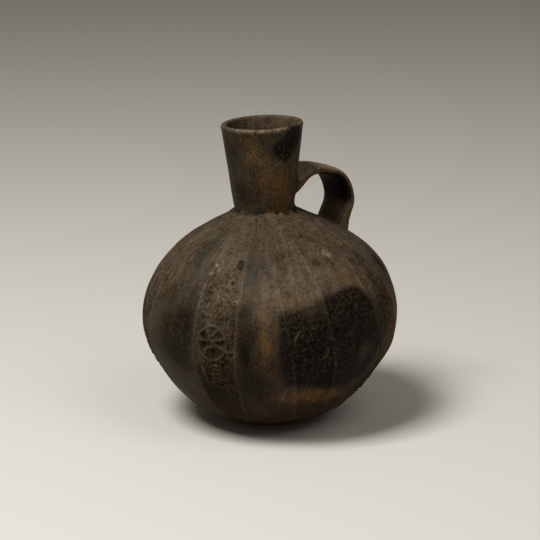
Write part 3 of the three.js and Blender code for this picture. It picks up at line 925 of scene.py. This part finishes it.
print("share under soot", round(float((soot_and_shade > 0.5).mean()), 2))

# %% [markdown]
# Black fired earthenware, burnished with a pebble while leather hard and smoked in the kiln. It
# has a low waxy shine on the smooth panels, dull grainy bands, and paler rubbed edges, which also
# get a painted highlight.

# %% One helper for nodes, and one for colours
def linear(hex_colour):
    """An sRGB hex colour as linear red, green, blue and 1."""
    parts = [int(hex_colour[i:i + 2], 16) / 255 for i in (1, 3, 5)]
    return [p / 12.92 if p <= 0.04045 else ((p + 0.055) / 1.055) ** 2.4 for p in parts] + [1.0]


def add(kind, inputs, result=0, **settings):
    """Add a shader node with its settings, fill its inputs by name or number, give one output."""
    node = tree.nodes.new("ShaderNode" + kind)
    for name, value in settings.items():
        setattr(node, name, value)
    for name, value in inputs.items():
        if isinstance(value, bpy.types.NodeSocket):
            tree.links.new(value, node.inputs[name])
        else:
            node.inputs[name].default_value = value
    return node.outputs[result] if len(node.outputs) else node


clay = bpy.data.materials.new("black_fired_clay_burnished")
clay.use_nodes = True
tree = clay.node_tree
tree.nodes.clear()

# %% [markdown]
# The colours vary with the fire and wear, and with painted sheen, highlights and shade, stored on
# the points, with the grain of the clay, and with the strokes of the pebble. Each pattern is noise
# sized in mm after what it stands for.

# %% Patterns of the clay, sized in mm
MOTTLE_SIZE = 19.0
PATCH_SIZE = 6.0
SPECKLE_SIZE = 1.7
GRAIN_SIZE = 0.9
STROKE_SIZE = 3.2
TO_SCALE = 1000

reads = {
    name: add("Attribute", {}, "Vector" if name == "stroke" else "Fac", attribute_name=name)
    for name in stored
}
in_place = add("TexCoord", {}, "Object")
mottle, patches, speckle, grain, strokes = [
    add("TexNoise", {
        "Vector": vector, "Scale": TO_SCALE / size, "Detail": detail, "Roughness": 0.58,
    }, "Fac")
    for vector, size, detail in (
        (in_place, MOTTLE_SIZE, 3.0), (in_place, PATCH_SIZE, 4.0), (in_place, SPECKLE_SIZE, 2.0),
        (in_place, GRAIN_SIZE, 1.0), (reads["stroke"], STROKE_SIZE, 3.0),
    )
]
print("patterns from", GRAIN_SIZE, "to", MOTTLE_SIZE, "mm")

# %% [markdown]
# The colours lie over one another as they came, with the painted sheen and shade among them.
# Patches and speckle break up each layer's edge, because smoke creeps along the grain and has no
# clean edge.

# %% Colours of the clay, one layer over another
BROWN_CLAY = linear("#35291b")
GREY_CLAY = linear("#332d21")
SOOT_BLACK = linear("#0e0a06")
# Name, colour, how much patches and speckle break the edge, start and end, most it covers
LAYERS = (
    # The ash layer also carries the painted light on the strap's shaded inner face
    ("ash_and_painted_light", linear("#4c4032"), 0.9, 0.1, 0.0, 1.2, 1.0),
    # The cool grey layer is a painted sheen
    ("painted_sheen", linear("#2f2b22"), 0.7, 0.4, 0.1, 1.1, 0.85),
    ("ochre", linear("#513b21"), 1.2, 0.6, 0.05, 1.25, 0.85),
    # The stain layer also carries the painted shade towards the foot
    ("stain_and_shade", linear("#151007"), 1.3, 0.9, 0.05, 1.05, 0.96),
    # The soot layer also carries the painted shade on the strap's face towards the neck
    ("soot_and_shade", SOOT_BLACK, 0.9, 0.9, 0.15, 0.9, 0.98),
    # The pale layer is flaked and rubbed clay, with painted highlights on the rim's front and the
    # strap's top
    ("pale", linear("#6d604d"), 0.5, 0.8, 0.2, 1.0, 0.9),
)
sandy = add("Math", {0: speckle, 1: grain}, operation="ADD")
thin = add("MapRange", {
    "Value": sandy, "From Min": 0.95, "From Max": 1.35, "To Min": 1.0, "To Max": 0.5,
})
reddish = add("MapRange", {"Value": mottle, "From Min": 0.38, "From Max": 0.62})
colour = add("Mix", {0: reddish, 6: BROWN_CLAY, 7: GREY_CLAY}, 2, data_type="RGBA")
for name, tint, by_patches, by_speckle, start, end, most in LAYERS:
    strength = reads[name]
    for pattern, weight in ((patches, by_patches), (speckle, by_speckle)):
        strength = add("Math", {0: pattern, 1: weight, 2: strength}, operation="MULTIPLY_ADD")
    middle = (by_patches + by_speckle) / 2
    share = add("MapRange", {
        "Value": strength, "From Min": start + middle, "From Max": end + middle, "To Max": most,
    }, interpolation_type="SMOOTHSTEP")
    if name in ("stain_and_shade", "soot_and_shade"):
        share = add("Math", {0: share, 1: thin}, operation="MULTIPLY")
    colour = add("Mix", {0: share, 6: colour, 7: tint}, 2, data_type="RGBA")
print(len(LAYERS), "layers of colour over the fired clay")

# %% [markdown]
# The clay is a little lighter and darker at the size of its sand. Hollows hold soil and get
# painted shade, raised lines are rubbed to a paler brown and get a painted highlight, and flecks
# of mineral grit show.

# %% Grain, soil and painted shade in hollows, rubbed edges and painted highlights
GRIT_SPACING = 2.3
SHADE_LEAST = 0.3
smooth_panel = add("Math", {0: 1.0, 1: reads["band"]}, operation="SUBTRACT")
panel_strokes = add("Math", {0: strokes, 1: smooth_panel}, operation="MULTIPLY")
weights = ((mottle, 1.1), (patches, 1.2), (speckle, 1.5), (grain, 1.6), (strokes, 1.3))
tone_and_relief_shading = 1.0 - sum(weight for pattern, weight in weights) / 2
# The relief attribute also lightens raised lines and darkens hollows: a painted highlight and painted
# shade
for pattern, weight in weights + ((reads["relief"], 0.75),):
    tone_and_relief_shading = add("Math", {0: pattern, 1: weight, 2: tone_and_relief_shading}, operation="MULTIPLY_ADD")
tone_and_relief_shading = add("Math", {0: tone_and_relief_shading, 1: SHADE_LEAST}, operation="MAXIMUM")
greys = add("CombineColor", {"Red": tone_and_relief_shading, "Green": tone_and_relief_shading, "Blue": tone_and_relief_shading})
colour = add("Mix", {0: 1.0, 6: colour, 7: greys}, 2, data_type="RGBA", blend_type="MULTIPLY")
# Hollows get soil and painted shade, raised lines get rubbed wear and a painted highlight, stronger in
# the black cloud
soil_and_shade, rubbed_and_highlight = [
    add("MapRange", {"Value": reads["relief"], "From Min": start, "From Max": end, "To Max": most})
    for start, end, most in ((-0.1, -0.65, 0.55), (0.3, 0.95, 0.2))
]
in_soot = add("Math", {0: reads["soot_and_shade"], 1: 1.4, 2: 1.0}, operation="MULTIPLY_ADD")
for factor in (speckle, in_soot):
    rubbed_and_highlight = add("Math", {0: rubbed_and_highlight, 1: factor}, operation="MULTIPLY")
grit = {"Vector": in_place, "Scale": TO_SCALE / GRIT_SPACING}
grit_reach = add("TexVoronoi", grit, "Distance")
grit_number = add("TexVoronoi", grit, "Color")
fleck = add("MapRange", {"Value": grit_reach, "From Min": 0.2, "From Max": 0.1})
picked = add("MapRange", {
    "Value": add("SeparateColor", {"Color": grit_number}, "Red"),
    "From Min": 0.78, "From Max": 0.95, "To Max": 0.28,
})
fleck = add("Math", {0: fleck, 1: picked}, operation="MULTIPLY")
# The inside wall darkens to black deeper down the neck
inner_darkening = add("Math", {0: reads["inside"], 1: 0.7}, operation="MULTIPLY")
for share, tint in (
    (soil_and_shade, linear("#120d07")), (rubbed_and_highlight, linear("#6a5c46")), (fleck, linear("#857a64")),
    (inner_darkening, SOOT_BLACK),
):
    colour = add("Mix", {0: share, 6: colour, 7: tint}, 2, data_type="RGBA")
print("grit about every", GRIT_SPACING, "mm")

# %% [markdown]
# A burnished skin has a soft, low shine, because the pebble pressed the clay's flakes flat. Its
# index of refraction is near 1.5, but it is porous and reflects much less than glass.

# %% Shine and fine relief
BURNISHED = 0.46
POROUS_SHINE = 0.045
SKIN_RELIEF = 0.0006
roughness = BURNISHED
for pattern, weight in ((reads["band"], 0.16), (speckle, 0.16), (soil_and_shade, 0.4), (reads["soot_and_shade"], 0.08)):
    terms = {0: pattern, 1: weight, 2: roughness}
    roughness = add("Math", terms, operation="MULTIPLY_ADD", use_clamp=True)
fine = 0.0
for pattern, weight in ((grain, 0.35), (speckle, 0.6), (panel_strokes, 0.5)):
    fine = add("Math", {0: pattern, 1: weight, 2: fine}, operation="MULTIPLY_ADD")
bump = add("Bump", {"Height": fine, "Strength": 0.55, "Distance": SKIN_RELIEF})
surface = add("BsdfPrincipled", {
    "Base Color": colour, "Roughness": roughness, "Normal": bump,
    "IOR": 1.5, "Specular IOR Level": POROUS_SHINE,
})
add("OutputMaterial", {"Surface": surface})
vessel.data.materials.clear()
vessel.data.materials.append(clay)
vessel.data.polygons.foreach_set("use_smooth", np.ones(len(vessel.data.polygons), dtype=bool))
vessel.data.update()

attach(vessel, "root")
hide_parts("vessel")
vessel.data.calc_loop_triangles()
print("clay_jug has", len(vessel.data.loop_triangles), "triangles")

# %% [markdown]
# The jug stands on a pale floor. A large light at the upper left gives the broad sheen on the
# shoulder, a weaker one at the right keeps the dark side readable, and a pale sky fills the rest.

# %% Floor, lights and camera
TARGET = Vector((0, 0, 0.100))
CAMERA_PLACE = (-132, 15, 1.400)
LENS = 140.69
SENSOR_WIDTH = 36
FLOOR_CORNERS = [(-6, -6, 0), (6, -6, 0), (6, 6, 0), (-6, 6, 0)]
# Name, azimuth and elevation in degrees, distance and size in m, power in W
LIGHTS = (("key", -180, 60, 1.6, 0.6, 34), ("fill", -80, 52, 1.8, 1.0, 7))


def facing_jug(name, data, azimuth, elevation, distance):
    """A new object that looks at the jug from two angles and a distance."""
    turn, rise = math.radians(azimuth), math.radians(elevation)
    level = math.cos(rise)
    way = Vector((level * math.cos(turn), level * math.sin(turn), math.sin(rise)))
    made = linked(name, data)
    made.location = TARGET + way * distance
    made.rotation_euler = way.to_track_quat("Z", "Y").to_euler()
    return made


paper = bpy.data.materials.new("pale_floor_paper")
paper.use_nodes = True
paper_surface = paper.node_tree.nodes["Principled BSDF"]
paper_surface.inputs["Base Color"].default_value = linear("#c2beb6")
paper_surface.inputs["Roughness"].default_value = 0.8
floor_mesh = bpy.data.meshes.new("pale_floor")
floor_mesh.from_pydata(FLOOR_CORNERS, [], [(0, 1, 2, 3)])
floor_mesh.materials.append(paper)
floor = linked("pale_floor", floor_mesh)

for name, azimuth, elevation, distance, size, power in LIGHTS:
    lamp = bpy.data.lights.new(name, "AREA")
    lamp.size = size
    lamp.energy = power
    facing_jug(name, lamp, azimuth, elevation, distance)
world = bpy.data.worlds.new("pale_sky")
world.use_nodes = True
sky = world.node_tree.nodes["Background"]
sky.inputs["Color"].default_value = linear("#f2e8d8")
sky.inputs["Strength"].default_value = 0.18
bpy.context.scene.world = world

camera_data = bpy.data.cameras.new("photo_camera")
camera_data.lens = LENS
camera_data.sensor_width = SENSOR_WIDTH
bpy.context.scene.camera = facing_jug("photo_camera", camera_data, *CAMERA_PLACE)
bpy.context.scene.view_settings.view_transform = "Standard"
bpy.context.scene.view_settings.look = "None"
print(len(LIGHTS), "lights, camera", CAMERA_PLACE[-1], "m away")
